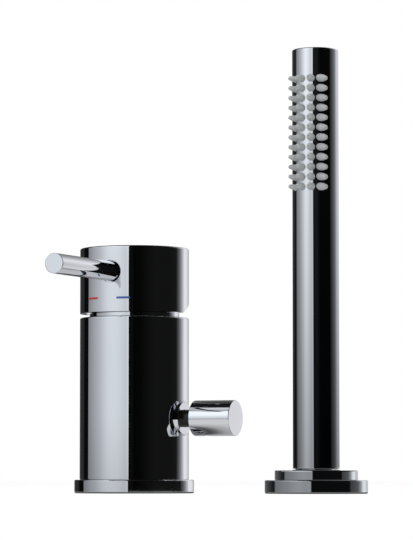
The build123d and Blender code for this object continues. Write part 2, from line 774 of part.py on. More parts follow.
# Guide bush: plastic sleeve, wide enough for the hose's nut, with a lip that the tube stands on
with BuildPart() as guide_bush:
    with BuildSketch(Plane.XY.offset(bush_foot)):
        with Locations((holder_x, 0)):
            Circle(bush_d / 2)
    extrude(amount=bush_body_top - bush_foot)
    with BuildSketch(Plane.XY.offset(bush_body_top)):
        with Locations((holder_x, 0)):
            Circle(bush_lip_d / 2)
    extrude(amount=bush_lip_top - bush_body_top)
    with BuildSketch(Plane.XY.offset(bush_foot)):
        with Locations((holder_x, 0)):
            Circle(thread_d / 2 + nut_room)
    extrude(amount=bush_lip_top - bush_foot, mode=Mode.SUBTRACT)
guide_bush.part.label = "guide_bush"
export_step(guide_bush.part, "parts/guide_bush.step")

# Wand tube: plain chromed tube, pierced for the nozzles
with BuildPart() as handset_tube:
    with BuildSketch(Plane.XY.offset(tube_foot)):
        with Locations((holder_x, 0)):
            Circle(tube_r)
    extrude(amount=tube_top - tube_foot)
    chamfer(circles(handset_tube.edges(), tube_r)[0], tube_foot_edge)
    with BuildSketch(Plane.XY.offset(tube_foot)):
        with Locations((holder_x, 0)):
            Circle(tube_inner_r)
    extrude(amount=tube_top - tube_foot, mode=Mode.SUBTRACT)
    with Locations(*[plane.location for plane in radial_planes]):
        Cylinder(nozzle_neck_r + seat_gap, nozzle_hole_h, mode=Mode.SUBTRACT)
handset_tube.part.label = "handset_tube"
export_step(handset_tube.part, "parts/handset_tube.step")

# Wand end cap: flat lid with a plug inside the tube
with BuildPart() as handset_end_cap:
    with BuildSketch(Plane.XY.offset(tube_top)):
        with Locations((holder_x, 0)):
            Circle(tube_r)
    extrude(amount=end_cap_h)
    fillet(circles(handset_end_cap.edges(), tube_r)[-1], end_cap_edge)
    with BuildSketch(Plane.XY.offset(tube_top)):
        with Locations((holder_x, 0)):
            Circle(plug_r)
    extrude(amount=-end_plug_h)
handset_end_cap.part.label = "handset_end_cap"
export_step(handset_end_cap.part, "parts/handset_end_cap.step")

# Nozzle strip: one silicone moulding, a curved mat inside the tube with bullet nozzles through its wall
with BuildPart() as nozzle_strip:
    with Locations(*[plane.offset(-nozzle_sink).location for plane in aimed_planes]):
        Cylinder(nozzle_foot_r, nozzle_sink, align=(Align.CENTER, Align.CENTER, Align.MIN))
    with Locations(*[plane.location for plane in aimed_planes]):
        Cone(nozzle_foot_r, nozzle_waist_r, nozzle_waist_h, align=(Align.CENTER, Align.CENTER, Align.MIN))
    with Locations(*[plane.offset(nozzle_waist_h).location for plane in aimed_planes]):
        Cone(
            nozzle_waist_r,
            nozzle_tip_r,
            nozzle_length - nozzle_waist_h,
            align=(Align.CENTER, Align.CENTER, Align.MIN),
        )
    with BuildSketch(Plane.XY.offset(mat_foot)):
        with Locations((holder_x, 0)):
            Circle(tube_r)
    extrude(amount=mat_top - mat_foot, mode=Mode.SUBTRACT)
    with Locations(*[plane.location for plane in radial_planes]):
        Cylinder(nozzle_neck_r, 2 * (tube_wall + mat_wall / 2))
    mat_face = ring_sector(mat_r, mat_wall, -mat_half_angle, 2 * mat_half_angle, mat_foot)
    extrude(mat_face.moved(Location((holder_x, 0, 0))), amount=mat_top - mat_foot)
nozzle_strip.part.label = "nozzle_strip"
export_step(nozzle_strip.part, "parts/nozzle_strip.step")

# Spray core: plastic former behind the mat, with a water gallery for each column
with BuildPart() as spray_core:
    with BuildSketch(Plane.XY.offset(mat_foot - core_flange_h)):
        with Locations((holder_x, 0)):
            Circle(plug_r)
    extrude(amount=core_flange_h - core_gap)
    with BuildSketch(Plane.XY.offset(mat_top + core_gap)):
        with Locations((holder_x, 0)):
            Circle(plug_r)
    extrude(amount=core_flange_h)
    with BuildSketch(Plane.XY.offset(mat_foot - core_gap)):
        with Locations((holder_x, 0)):
            Circle(mat_inner_r - core_gap)
        for angle in column_angles:
            gallery_x = holder_x + mat_inner_r * sin(radians(angle))
            with Locations((gallery_x, -mat_inner_r * cos(radians(angle)))):
                Circle(gallery_r, mode=Mode.SUBTRACT)
    extrude(amount=mat_top - mat_foot + 2 * core_gap)
    with BuildSketch(Plane.XY.offset(mat_foot - core_flange_h)):
        with Locations((holder_x, 0)):
            Circle(core_feed_r)
    extrude(amount=mat_top - mat_foot, mode=Mode.SUBTRACT)
spray_core.part.label = "spray_core"
export_step(spray_core.part, "parts/spray_core.step")

# Wand inlet: brass plug in the tube's foot with the male thread for the hose
with BuildPart() as handset_inlet:
    with BuildSketch(Plane.XY.offset(nipple_foot)):
        with Locations((holder_x, 0)):
            Circle(thread_d / 2)
    extrude(amount=tube_foot - nipple_foot)
    with BuildSketch(Plane.XY.offset(tube_foot)):
        with Locations((holder_x, 0)):
            Circle(plug_r)
    extrude(amount=nipple_plug_h)
    with BuildSketch(Plane.XY.offset(nipple_foot)):
        with Locations((holder_x, 0)):
            Circle(nipple_bore_r)
    extrude(amount=tube_foot + nipple_plug_h - nipple_foot, mode=Mode.SUBTRACT)
    with BuildSketch(Plane.XY.offset(nipple_foot)):
        with Locations((holder_x, 0)):
            Circle(washer_r + seat_gap)
    extrude(amount=washer_h, mode=Mode.SUBTRACT)
handset_inlet.part.label = "handset_inlet"
export_step(handset_inlet.part, "parts/handset_inlet.step")

# Inlet washer: rubber ring in the mouth of the inlet
with BuildPart() as inlet_seal:
    with BuildSketch(Plane.XY.offset(nipple_foot)):
        with Locations((holder_x, 0)):
            Circle(washer_r)
            Circle(washer_hole_r, mode=Mode.SUBTRACT)
    extrude(amount=washer_h)
inlet_seal.part.label = "inlet_seal"
export_step(inlet_seal.part, "parts/inlet_seal.step")
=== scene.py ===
"""Bath mixer with its hand shower: finishes, fine pieces, studio and camera on the CAD frame."""

import json
import logging
from dataclasses import dataclass, field
from enum import Enum
from math import cos, pi, radians, sin, tan
from typing import Callable, Iterable

import bmesh
import bpy
from mathutils import Matrix, Vector


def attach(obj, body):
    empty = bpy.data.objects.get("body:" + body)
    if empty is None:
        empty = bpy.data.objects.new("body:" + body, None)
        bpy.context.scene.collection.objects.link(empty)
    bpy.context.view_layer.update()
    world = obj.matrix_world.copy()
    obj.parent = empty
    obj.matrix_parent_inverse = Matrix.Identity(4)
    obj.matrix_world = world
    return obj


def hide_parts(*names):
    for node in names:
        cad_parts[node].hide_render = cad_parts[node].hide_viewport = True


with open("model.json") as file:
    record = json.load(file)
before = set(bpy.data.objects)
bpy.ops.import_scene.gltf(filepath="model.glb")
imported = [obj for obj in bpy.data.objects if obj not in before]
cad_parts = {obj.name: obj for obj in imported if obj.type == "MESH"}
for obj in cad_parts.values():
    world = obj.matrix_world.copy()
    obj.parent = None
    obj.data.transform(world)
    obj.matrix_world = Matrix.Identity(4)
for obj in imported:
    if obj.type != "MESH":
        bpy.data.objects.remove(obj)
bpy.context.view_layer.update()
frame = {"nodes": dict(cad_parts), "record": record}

LOG = logging.getLogger("bath_mixer")

Colour = tuple[float, float, float]
Stop = tuple[float, float]
Point = tuple[float, float]

MM = 0.001
WHITE: Colour = (1.0, 1.0, 1.0)
HAND_SHOWER_X = 102.4 * MM
ON_AXIS = 1e-7  # a radius below this is a point on the axis
STUDIO_STEPS = 96  # segments round the studio's round things


class Axis(Enum):
    """Directions that turned pieces are built along."""

    UP = (0.0, 0.0, 1.0)
    RIGHT = (1.0, 0.0, 0.0)


class Pattern(Enum):
    """What a finish varies with."""

    POLISHED = "polished"
    TURNED = "turned"
    MOULDED = "moulded"
    SKIN = "skin"


def new_group(name: str, inputs: dict[str, float], outputs: dict[str, str]) -> bpy.types.NodeTree:
    """Starts a shader node group with number inputs.

    Args:
        name: Name of the group.
        inputs: Input name to its default number.
        outputs: Output name to its socket type.

    Returns:
        The group, with its input and output nodes in place.
    """
    group = bpy.data.node_groups.new(name, "ShaderNodeTree")
    for label, value in inputs.items():
        socket = group.interface.new_socket(label, in_out="INPUT", socket_type="NodeSocketFloat")
        socket.default_value = value
    for label, kind in outputs.items():
        group.interface.new_socket(label, in_out="OUTPUT", socket_type=kind)
    group.nodes.new("NodeGroupInput")
    group.nodes.new("NodeGroupOutput")
    return group


@dataclass
class NodeWriter:
    """Small helper that adds nodes to a tree and joins them."""

    tree: bpy.types.NodeTree

    def add(self, kind: str, **settings: object) -> bpy.types.Node:
        """Adds a node and sets its properties.

        Args:
            kind: Blender's name of the node type.
            settings: Properties to set on the node.

        Returns:
            The new node.
        """
        node = self.tree.nodes.new(kind)
        for label, value in settings.items():
            setattr(node, label, value)
        return node

    def join(self, source: object, target: object) -> None:
        """Links an output socket to an input socket."""
        self.tree.links.new(source, target)

    def fill(self, target: object, value: object) -> None:
        """Gives an input socket its number, or links what feeds it.

        Args:
            target: The input socket.
            value: A number or an output socket.
        """
        if isinstance(value, (int, float)):
            target.default_value = value
        else:
            self.join(value, target)

    def maths(self, operation: str, first: object, second: object) -> object:
        """Adds a Math node.

        Args:
            operation: The Math node's operation.
            first: A socket or a number.
            second: A socket or a number.

        Returns:
            The node's output socket.
        """
        node = self.add("ShaderNodeMath", operation=operation)
        self.fill(node.inputs[0], first)
        self.fill(node.inputs[1], second)
        return node.outputs[0]

    def span(self, value: object, low: float, high: float, start: object, end: object) -> object:
        """Maps a value from low..high to start..end.

        Args:
            value: Socket with the value.
            low: Where the incoming range starts.
            high: Where it ends.
            start: Number or socket given at low.
            end: Number or socket given at high.

        Returns:
            The mapped value's socket.
        """
        node = self.add("ShaderNodeMapRange")
        sources = {"Value": value, "From Min": low, "From Max": high, "To Min": start, "To Max": end}
        for label, source in sources.items():
            self.fill(node.inputs[label], source)
        return node.outputs["Result"]

    def apart(self, vector: object) -> object:
        """Splits a vector.

        Args:
            vector: Socket with the vector.

        Returns:
            The X, Y and Z sockets, by those names.
        """
        split = self.add("ShaderNodeSeparateXYZ")
        self.join(vector, split.inputs["Vector"])
        return split.outputs

    def ramp(self, value: object, stops: tuple[Stop, ...]) -> object:
        """Adds a grey colour ramp, straight from stop to stop.

        Args:
            value: Socket that runs from 0 to 1.
            stops: Pairs (place, strength), at most 32.

        Returns:
            The strength's socket.
        """
        node = self.add("ShaderNodeValToRGB")
        ramp = node.color_ramp
        ramp.interpolation = "LINEAR"
        while len(ramp.elements) > 1:
            ramp.elements.remove(ramp.elements[-1])
        ramp.elements[0].position = stops[0][0]
        ramp.elements[0].color = (stops[0][1],) * 3 + (1.0,)
        for place, strength in stops[1:]:
            ramp.elements.new(place).color = (strength,) * 3 + (1.0,)
        self.join(value, node.inputs["Fac"])
        return node.outputs["Color"]

    def seen_directly(self) -> object:
        """Tells rays that show a thing from rays that light it.

        Returns:
            Socket with 1 for camera, glossy and transmission rays, and 0 for others.
        """
        rays = self.add("ShaderNodeLightPath").outputs
        shown = self.maths("MAXIMUM", rays["Is Camera Ray"], rays["Is Glossy Ray"])
        return self.maths("MAXIMUM", shown, rays["Is Transmission Ray"])

    def glow(self, strength: object, tint: Colour = WHITE) -> object:
        """Adds an emission.

        Args:
            strength: Number or socket.
            tint: Its colour.

        Returns:
            The emission's socket.
        """
        node = self.add("ShaderNodeEmission")
        node.inputs["Color"].default_value = (*tint, 1.0)
        self.fill(node.inputs["Strength"], strength)
        return node.outputs["Emission"]

    def mix(self, share: object, first: object, second: object) -> object:
        """Mixes two shaders.

        Args:
            share: Socket with the share of the second one.
            first: Shader socket shown at 0.
            second: Shader socket shown at 1.

        Returns:
            The mixed shader's socket.
        """
        node = self.add("ShaderNodeMixShader")
        for slot, source in enumerate((share, first, second)):
            self.join(source, node.inputs[slot])
        return node.outputs["Shader"]


@dataclass
class SurfaceGroups:
    """Builds each shared surface effect once, as a node group."""

    mask_low: float = 0.3
    mask_high: float = 0.7
    ring_stretch: tuple[float, float, float] = (0.6, 0.6, 14.0)
    made: dict[Pattern, bpy.types.NodeTree] = field(default_factory=dict)

    def get(self, pattern: Pattern) -> bpy.types.NodeTree:
        """Gives the node group of a pattern.

        Args:
            pattern: The surface effect.

        Returns:
            Its node group, with Mask, Roughness and Normal outputs.
        """
        if pattern not in self.made:
            makers: dict[Pattern, Callable[[], bpy.types.NodeTree]] = {
                Pattern.POLISHED: self.polished,
                Pattern.TURNED: self.turned,
                Pattern.MOULDED: self.moulded,
                Pattern.SKIN: self.skin,
            }
            self.made[pattern] = makers[pattern]()
        return self.made[pattern]

    def apply(self, writer: NodeWriter, pattern: Pattern, scale: float, rough: tuple[float, float],
              relief: float) -> bpy.types.Node:
        """Places an effect in a material, with its roughness and relief on the shader.

        Args:
            writer: Writer of the material's tree.
            pattern: The surface effect.
            scale: How much finer than usual it is.
            rough: Roughness where its mask is low and where it is high.
            relief: Strength of its relief.

        Returns:
            The effect's node.
        """
        node = writer.add("ShaderNodeGroup", node_tree=self.get(pattern))
        node.inputs["Scale"].default_value = scale
        node.inputs["Rough low"].default_value = rough[0]
        node.inputs["Rough high"].default_value = rough[1]
        node.inputs["Relief"].default_value = relief
        shader = writer.tree.nodes["Principled BSDF"]
        writer.join(node.outputs["Roughness"], shader.inputs["Roughness"])
        writer.join(node.outputs["Normal"], shader.inputs["Normal"])
        return node

    @staticmethod
    def begin(name: str) -> tuple[NodeWriter, bpy.types.Node, object]:
        """Starts an effect group with the common sockets.

        Args:
            name: The group's name.

        Returns:
            The writer, the input node and the object coordinate socket.
        """
        group = new_group(
            name,
            {"Scale": 1.0, "Rough low": 0.05, "Rough high": 0.1, "Relief": 0.1},
            {"Mask": "NodeSocketFloat", "Roughness": "NodeSocketFloat", "Normal": "NodeSocketVector"},
        )
        writer = NodeWriter(group)
        return writer, group.nodes["Group Input"], writer.add("ShaderNodeTexCoord").outputs["Object"]

    @staticmethod
    def noise(writer: NodeWriter, enter: bpy.types.Node, place: object, fineness: float,
              octaves: float) -> object:
        """Adds a noise texture that gets finer with the group's Scale.

        Args:
            writer: Writer of the tree.
            enter: The group's input node.
            place: Coordinate socket.
            fineness: The noise's scale where the group's Scale is 1.
            octaves: Its detail.

        Returns:
            The noise value's socket.
        """
        node = writer.add("ShaderNodeTexNoise")
        node.inputs["Detail"].default_value = octaves
        writer.join(place, node.inputs["Vector"])
        writer.join(writer.maths("MULTIPLY", enter.outputs["Scale"], fineness), node.inputs["Scale"])
        return node.outputs["Fac"]

    def finish(self, writer: NodeWriter, enter: bpy.types.Node, mask: object, height: object,
               relief_height: float) -> bpy.types.NodeTree:
        """Ends an effect group with its roughness range and its relief.

        Args:
            writer: Writer of the tree.
            enter: The group's input node.
            mask: Value that the roughness follows.
            height: Value that the relief follows.
            relief_height: Height of the full relief in metres.

        Returns:
            The finished group.
        """
        leave = writer.tree.nodes["Group Output"]
        rough = writer.span(mask, self.mask_low, self.mask_high, enter.outputs["Rough low"],
                            enter.outputs["Rough high"])
        bump = writer.add("ShaderNodeBump")
        bump.inputs["Distance"].default_value = relief_height
        writer.join(enter.outputs["Relief"], bump.inputs["Strength"])
        writer.join(height, bump.inputs["Height"])
        writer.join(mask, leave.inputs["Mask"])
        writer.join(rough, leave.inputs["Roughness"])
        writer.join(bump.outputs["Normal"], leave.inputs["Normal"])
        return writer.tree

    def polished(self) -> bpy.types.NodeTree:
        """Buffed plating: soft haze, and the faint waviness that a polishing wheel leaves.

        Returns:
            The effect's group.
        """
        writer, enter, place = self.begin("buffed_plating")
        haze = self.noise(writer, enter, place, fineness=38.0, octaves=4.0)
        wave = self.noise(writer, enter, place, fineness=26.0, octaves=1.0)
        return self.finish(writer, enter, haze, wave, relief_height=0.2 * MM)

    def turned(self) -> bpy.types.NodeTree:
        """Lathe-turned metal: fine rings that lie level, across an upright axis.

        Returns:
            The effect's group.
        """
        writer, enter, place = self.begin("lathe_rings")
        stretch = writer.add("ShaderNodeMapping")
        stretch.inputs["Scale"].default_value = self.ring_stretch
        writer.join(place, stretch.inputs["Vector"])
        rings = self.noise(writer, enter, stretch.outputs["Vector"], fineness=420.0, octaves=3.0)
        return self.finish(writer, enter, rings, rings, relief_height=0.05 * MM)

    def moulded(self) -> bpy.types.NodeTree:
        """Moulded plastic or rubber: fine spark-eroded grain over a slow mottle.

        Returns:
            The effect's group.
        """
        writer, enter, place = self.begin("mould_grain")
        mottle = self.noise(writer, enter, place, fineness=120.0, octaves=2.0)
        grain = self.noise(writer, enter, place, fineness=2600.0, octaves=2.0)
        return self.finish(writer, enter, mottle, grain, relief_height=0.04 * MM)

    def skin(self) -> bpy.types.NodeTree:
        """Silicone skin: cloudy body with a very fine matt bloom.

        Returns:
            The effect's group.
        """
        writer, enter, place = self.begin("silicone_skin")
        cloud = self.noise(writer, enter, place, fineness=420.0, octaves=3.0)
        bloom = self.noise(writer, enter, place, fineness=5200.0, octaves=2.0)
        return self.finish(writer, enter, cloud, bloom, relief_height=0.03 * MM)


GROUPS = SurfaceGroups()


@dataclass(frozen=True)
class Finish:
    """One finish of the set, from which its material is made."""

    name: str
    pattern: Pattern
    dark: Colour
    light: Colour
    rough: tuple[float, float]
    metallic: float = 0.0
    scale: float = 1.0
    relief: float = 0.1
    coat: float = 0.0
    coat_rough: float = 0.05
    subsurface: float = 0.0
    subsurface_spread: Colour = (1.0, 0.9, 0.8)
    subsurface_depth: float = 1.5 * MM
    specular: float = 0.5

    def material(self) -> bpy.types.Material:
        """Makes the finish's material, or gives the one made before.

        Returns:
            The material.
        """
        existing = bpy.data.materials.get(self.name)
        if existing:
            return existing
        made = bpy.data.materials.new(self.name)
        made.use_nodes = True
        writer = NodeWriter(made.node_tree)
        effect = GROUPS.apply(writer, self.pattern, self.scale, self.rough, self.relief)
        tint = writer.add("ShaderNodeMix", data_type="RGBA")
        tint.inputs["A"].default_value = (*self.dark, 1.0)
        tint.inputs["B"].default_value = (*self.light, 1.0)
        writer.join(effect.outputs["Mask"], tint.inputs["Factor"])
        shader = made.node_tree.nodes["Principled BSDF"]
        writer.join(tint.outputs["Result"], shader.inputs["Base Color"])
        shader.inputs["Metallic"].default_value = self.metallic
        shader.inputs["Specular IOR Level"].default_value = self.specular
        shader.inputs["Coat Weight"].default_value = self.coat
        shader.inputs["Coat Roughness"].default_value = self.coat_rough
        if self.subsurface:
            shader.inputs["Subsurface Weight"].default_value = self.subsurface
            shader.inputs["Subsurface Radius"].default_value = self.subsurface_spread
            shader.inputs["Subsurface Scale"].default_value = self.subsurface_depth
        return made


CHROME = Finish(
    "chrome_plate", Pattern.POLISHED, dark=(0.755, 0.775, 0.80), light=(0.785, 0.80, 0.825),
    rough=(0.015, 0.03), metallic=1.0, relief=0.012)
# the diverter spindle gets a near-black colour
DARK_SPINDLE = Finish(
    "near_black_spindle", Pattern.TURNED, dark=(0.006, 0.006, 0.005), light=(0.014, 0.013, 0.010),
    rough=(0.20, 0.30), scale=1.2, specular=0.35)
BRASS = Finish(
    "turned_brass", Pattern.TURNED, dark=(0.60, 0.44, 0.22), light=(0.74, 0.58, 0.33), rough=(0.22, 0.36),
    metallic=1.0, relief=0.25)
STEEL = Finish(
    "turned_steel", Pattern.TURNED, dark=(0.42, 0.43, 0.44), light=(0.58, 0.58, 0.59), rough=(0.25, 0.38),
    metallic=1.0, relief=0.2)
SILICONE = Finish(
    "grey_silicone", Pattern.SKIN, dark=(0.225, 0.235, 0.24), light=(0.285, 0.295, 0.30), rough=(0.30, 0.42),
    relief=0.12, subsurface=0.12, specular=0.45)
RUBBER = Finish(
    "black_rubber", Pattern.MOULDED, dark=(0.016, 0.016, 0.017), light=(0.034, 0.034, 0.035),
    rough=(0.6, 0.78), relief=0.3)
CERAMIC = Finish(
    "lapped_ceramic", Pattern.MOULDED, dark=(0.84, 0.83, 0.79), light=(0.9, 0.89, 0.86), rough=(0.1, 0.18),
    relief=0.05, coat=0.3)
BLACK_PLASTIC = Finish(
    "black_acetal", Pattern.MOULDED, dark=(0.018, 0.018, 0.02), light=(0.035, 0.035, 0.038),
    rough=(0.36, 0.5), relief=0.25)
WHITE_PLASTIC = Finish(
    "white_acetal", Pattern.MOULDED, dark=(0.74, 0.74, 0.71), light=(0.82, 0.82, 0.8), rough=(0.34, 0.46),
    relief=0.2)
RED_ENAMEL = Finish(
    "red_enamel", Pattern.MOULDED, dark=(0.50, 0.012, 0.02), light=(0.62, 0.02, 0.03), rough=(0.18, 0.28),
    coat=0.6)
BLUE_ENAMEL = Finish(
    "blue_enamel", Pattern.MOULDED, dark=(0.008, 0.05, 0.22), light=(0.014, 0.075, 0.30), rough=(0.18, 0.28),
    coat=0.6)

SLOT_FINISHES: dict[str, Finish] = {
    "chrome": CHROME,
    "raw_brass": BRASS,
    "steel": STEEL,
    "grey_silicone": SILICONE,
    "black_rubber": RUBBER,
    "ceramic": CERAMIC,
    "black_plastic": BLACK_PLASTIC,
    "white_plastic": WHITE_PLASTIC,
    "red_enamel": RED_ENAMEL,
    "blue_enamel": BLUE_ENAMEL,
}

# Brass pieces of the record given a near-black colour or chrome plate where they show
SHOWN_FINISHES: dict[str, Finish] = {"diverter_spindle": DARK_SPINDLE, "handset_inlet": CHROME}

# Pieces of the hand shower and its holder, which the mixer doesn't mirror
UNMIRRORED = (
    "handset_tube", "handset_end_cap", "spray_nozzles", "handset_inlet", "inlet_seal", "spray_core",
    "guide_bush", "holder_flange", "holder_collar", "holder_gasket")


@dataclass
class Form:
    """A mesh under construction."""

    name: str
    mesh: bmesh.types.BMesh = field(default_factory=bmesh.new)

    def lathe(self, profile: Iterable[Point], origin: Vector, axis: Vector, steps: int,
              closed: bool = False) -> None:
        """Turns a profile round an axis and adds it to the mesh.

        Args:
            profile: Points (distance along the axis, radius), in metres.
            origin: Where the axis starts.
            axis: Direction of the axis.
            steps: Number of segments round.
            closed: Joins the last point to the first.
        """
        turn = axis.normalized().to_track_quat("Z", "Y").to_matrix().to_4x4()
        place = Matrix.Translation(origin) @ turn
        rings = []
        for along, radius in profile:
            if radius < ON_AXIS:
                rings.append([self.mesh.verts.new(place @ Vector((0.0, 0.0, along)))])
                continue
            ring = []
            for step in range(steps):
                angle = 2 * pi * step / steps
                spot = place @ Vector((radius * cos(angle), radius * sin(angle), along))
                ring.append(self.mesh.verts.new(spot))
            rings.append(ring)
        pairs = list(zip(rings, rings[1:]))
        if closed:
            pairs.append((rings[-1], rings[0]))
        for low, high in pairs:
            self.band(low, high, steps)

    def band(self, low: list[bmesh.types.BMVert], high: list[bmesh.types.BMVert], steps: int) -> None:
        """Joins two rings of vertices with faces, where one of them may be a point.

        Args:
            low: The first ring.
            high: The second ring.
            steps: Number of segments round.
        """
        for step in range(steps):
            after = (step + 1) % steps
            if len(low) == 1:
                self.mesh.faces.new((low[0], high[after], high[step]))
            elif len(high) == 1:
                self.mesh.faces.new((low[step], low[after], high[0]))
            else:
                self.mesh.faces.new((low[step], low[after], high[after], high[step]))

    def placed(self, material: bpy.types.Material) -> bpy.types.Object:
        """Turns the mesh into an object of the scene.

        Args:
            material: The material it gets.

        Returns:
            The new object.
        """
        data = bpy.data.meshes.new(self.name)
        self.mesh.to_mesh(data)
        self.mesh.free()
        made = bpy.data.objects.new(self.name, data)
        bpy.context.scene.collection.objects.link(made)
        data.materials.append(material)
        return made

    def piece(self, finish: Finish, body: str, smooth_angle: float) -> bpy.types.Object:
        """Turns the mesh into a piece that rides on a body.

        Args:
            finish: The finish it gets.
            body: The CAD body it rides on.
            smooth_angle: Edges sharper than this many degrees stay sharp.

        Returns:
            The new object.
        """
        bmesh.ops.recalc_face_normals(self.mesh, faces=self.mesh.faces[:])
        made = self.placed(finish.material())
        made.data.shade_smooth()
        made.data.set_sharp_from_angle(angle=radians(smooth_angle))
        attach(made, body)
        LOG.info("%s rides on %s with %d faces", self.name, body, len(made.data.polygons))
        return made


@dataclass
class FrameDress:
    """Gives every carried-over node the finish of its slot."""

    other: dict[str, Finish]

    def dress(self) -> None:
        """Puts the materials on the nodes."""
        slots = {item["node"]: item["material_slot"] for item in frame["record"]["subparts"]}
        for name, node in frame["nodes"].items():
            finish = self.other.get(name, SLOT_FINISHES[slots[name]])
            node.data.materials.clear()
            node.data.materials.append(finish.material())
            LOG.info("%s dressed in %s", name, finish.name)


@dataclass(frozen=True)
class NozzleColumn:
    """One upright column of nozzles, and how it differs from the usual nozzle."""

    place: float  # degrees round the tube from its front
    aim: float  # where its nozzles point, in the same degrees
    lean: float  # how far they rise for each unit outwards
    longer: float  # length against the usual nozzle
    wider: float  # radius against the usual nozzle

    def direction(self) -> Vector:
        """Gives the way its nozzles point."""
        return Vector((sin(radians(self.aim)), -cos(radians(self.aim)), self.lean))


@dataclass
class SprayNozzles:
    """The hand shower's silicone strip: rows of bullet nozzles and the mat that they grow from."""

    tube_r: float = 11.75 * MM
    wall: float = 1.4 * MM
    rows: int = 12
    pitch: float = 5.0 * MM
    lowest: float = 154.3 * MM
    columns: tuple[NozzleColumn, ...] = (
        NozzleColumn(place=-36.0, aim=-57.0, lean=0.18, longer=0.86, wider=0.8),
        NozzleColumn(place=-12.0, aim=-22.0, lean=0.08, longer=0.95, wider=0.98),
        NozzleColumn(place=12.0, aim=4.0, lean=0.04, longer=0.95, wider=1.0),
        NozzleColumn(place=36.0, aim=64.0, lean=-0.12, longer=1.08, wider=1.0))
    # One nozzle's side from inside the wall to its waist: distance from the tube's surface, radius
    side: tuple[Point, ...] = (
        (-1.5 * MM, 1.95 * MM), (0.0, 1.95 * MM), (0.5 * MM, 1.89 * MM), (1.6 * MM, 1.81 * MM),
        (2.4 * MM, 1.56 * MM), (2.9 * MM, 1.38 * MM))
    length: float = 4.2 * MM
    dome_r: float = 0.5 * MM
    dome_steps: int = 6
    rim_r: float = 0.36 * MM
    bore_r: float = 0.32 * MM
    bore_depth: float = 0.8 * MM
    steps: int = 28
    mat_gap: float = 0.1 * MM
    mat_thickness: float = 1.5 * MM
    mat_margin: float = 4.2 * MM
    mat_angle: float = 50.0
    mat_steps: int = 20

    def at(self, radius: float, angle: float, height: float) -> Vector:
        """Gives a point round the tube's axis, its angle in radians from the front."""
        return Vector((HAND_SHOWER_X + radius * sin(angle), -radius * cos(angle), height))

    def profile(self) -> list[Point]:
        """Draws the side view of one nozzle, from its foot in the tube's wall to the bore in its tip.

        Returns:
            Points (distance from the tube's surface, radius).
        """
        shoulder, waist_r = self.side[-1]
        points = list(self.side)
        for step in range(1, self.dome_steps):
            angle = radians(90.0 * step / self.dome_steps)
            along = shoulder + (self.length - shoulder) * sin(angle)
            points.append((along, self.dome_r + (waist_r - self.dome_r) * cos(angle)))
        bore_end = self.length - self.bore_depth
        points += [(self.length, self.rim_r), (self.length, self.bore_r)]
        points += [(bore_end, self.bore_r), (bore_end, 0.0)]
        return points

    def build(self) -> bpy.types.Object:
        """Builds the strip and lets it stand for the CAD one.

        Returns:
            The strip.
        """
        form = Form("spray_nozzles")
        for column in self.columns:
            sized = [(along * column.longer, radius * column.wider) for along, radius in self.profile()]
            for row in range(self.rows):
                foot = self.at(self.tube_r, radians(column.place), self.lowest + row * self.pitch)
                form.lathe(sized, foot, column.direction(), self.steps)
        self.mat(form)
        made = form.piece(SILICONE, "wand", smooth_angle=50.0)
        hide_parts("nozzle_strip")
        return made

    def mat(self, form: Form) -> None:
        """Adds the curved mat inside the tube.

        Args:
            form: The strip's mesh.
        """
        outer = self.tube_r - self.wall - self.mat_gap
        inner = outer - self.mat_thickness
        low = self.lowest - self.mat_margin
        high = self.lowest + (self.rows - 1) * self.pitch + self.mat_margin
        section = ((outer, low), (outer, high), (inner, high), (inner, low))
        ribs = []
        for step in range(self.mat_steps + 1):
            angle = radians(self.mat_angle * (2 * step / self.mat_steps - 1))
            ribs.append([form.mesh.verts.new(self.at(radius, angle, height)) for radius, height in section])
        for here, after in zip(ribs, ribs[1:]):
            for side in range(len(section)):
                other = (side + 1) % len(section)
                form.mesh.faces.new((here[side], after[side], after[other], here[other]))
        form.mesh.faces.new(ribs[0])
        form.mesh.faces.new(reversed(ribs[-1]))


@dataclass
class DiverterRosette:
    """The low chrome rosette at the root of the diverter, its sloping side widening onto the body."""

    centre_z: float = 38.5 * MM
    inside_x: float = 23.0 * MM
    face_x: float = 29.0 * MM
    face_r: float = 8.4 * MM
    draft: float = 20.5
    bore_r: float = 4.6 * MM
    edge: float = 0.15 * MM
    edge_middle: float = 0.045 * MM  # how far the rounded edge stays inside the sharp corner
    steps: int = 160

    def build(self) -> bpy.types.Object:
        """Builds the rosette round the spindle, over the gland's flush face.

        Returns:
            The rosette.
        """
        form = Form("diverter_rosette")
        depth = self.face_x - self.inside_x
        inside_r = self.face_r + depth * tan(radians(self.draft))
        shoulder_r = self.face_r + self.edge * tan(radians(self.draft))
        profile = (
            (0.0, self.bore_r),
            (0.0, inside_r),
            (depth - self.edge, shoulder_r),
            (depth - self.edge_middle, self.face_r - self.edge_middle),
            (depth, self.face_r - self.edge),
            (depth, self.bore_r),
        )
        origin = Vector((self.inside_x, 0.0, self.centre_z))
        form.lathe(profile, origin, Vector(Axis.RIGHT.value), self.steps, closed=True)
        made = form.piece(CHROME, "root", smooth_angle=20.0)
        return made


def bare_material(name: str) -> tuple[bpy.types.Material, NodeWriter]:
    """Starts a material without nodes.

    Args:
        name: Its name.

    Returns:
        The material and the writer of its tree.
    """
    made = bpy.data.materials.new(name)
    made.use_nodes = True
    made.node_tree.nodes.clear()
    return made, NodeWriter(made.node_tree)


def end_material(writer: NodeWriter, surface: object) -> None:
    """Joins a shader to a new material output."""
    writer.join(surface, writer.add("ShaderNodeOutputMaterial").inputs["Surface"])


def only_in_gloss(thing: bpy.types.Object) -> None:
    """Makes a thing part of the stage that only mirrors show.

    Args:
        thing: The card, disc or sleeve.
    """
    thing.visible_camera = False
    thing.visible_diffuse = False
    thing.visible_shadow = False
    thing.visible_transmission = False
    thing.visible_volume_scatter = False


